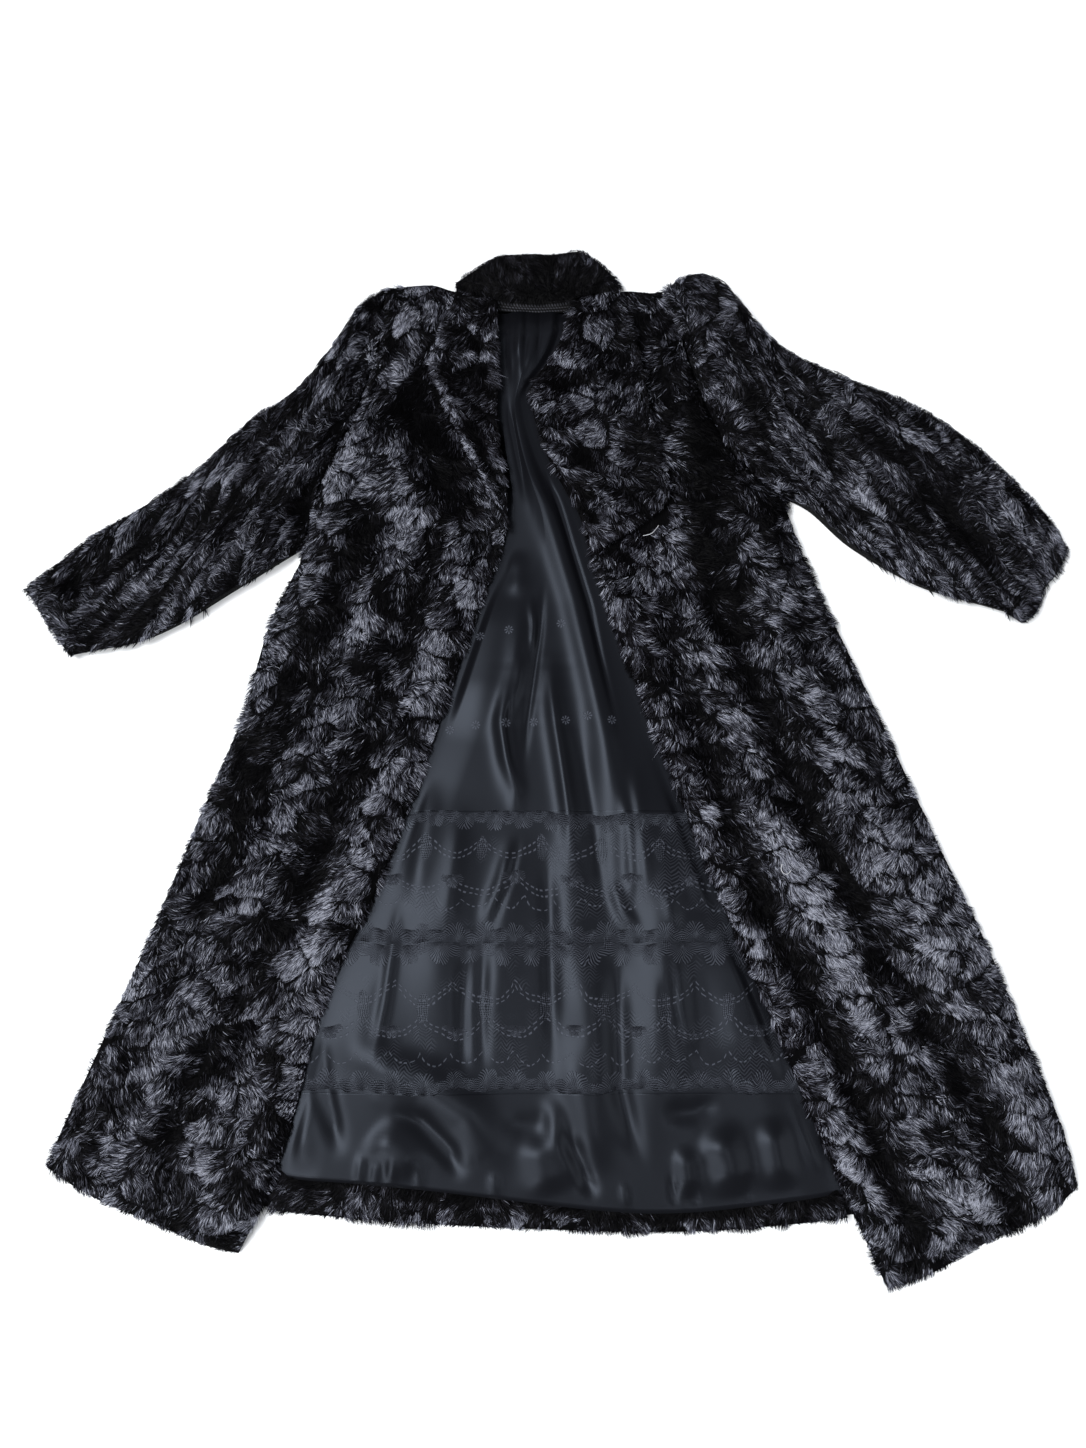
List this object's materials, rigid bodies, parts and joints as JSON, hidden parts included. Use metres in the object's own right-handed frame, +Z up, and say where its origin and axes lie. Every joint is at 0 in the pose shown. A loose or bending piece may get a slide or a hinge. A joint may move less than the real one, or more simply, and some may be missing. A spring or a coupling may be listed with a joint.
{
  "type": "fur coat",
  "caption": "Long flared coat of pieced black fur, laid flat with its fronts open over a dark satin lining, with full sleeves, narrow cuffs and a lapel collar.",
  "frame": {"origin": "point of the back's flat underside, under the middle of the coat about 58 cm below the neck seam, on the surface that the coat lies on", "axes": "+Z up from the surface, +Y towards the collar, +X towards the wearer's left side"},
  "size_m": [1.289, 1.2602, 0.0381],
  "materials": {
    "black_fur": "short glossy black fur in small overlapping pieces, with a cool blue-grey sheen",
    "slate_satin": "dark slate satin with a tone-on-tone woven leaf and garland band"
  },
  "bodies": {
    "root": {"back": "black_fur", "back_hem_band": "black_fur", "lining_back": "slate_satin", "neck_band": "slate_satin", "collar_back": "black_fur", "front_right": "black_fur", "front_left": "black_fur", "lapel_right": "black_fur", "lapel_left": "black_fur", "sleeve_right": "black_fur", "sleeve_left": "black_fur", "cuff_right": "black_fur", "cuff_left": "black_fur"}
  },
  "joints": []
}
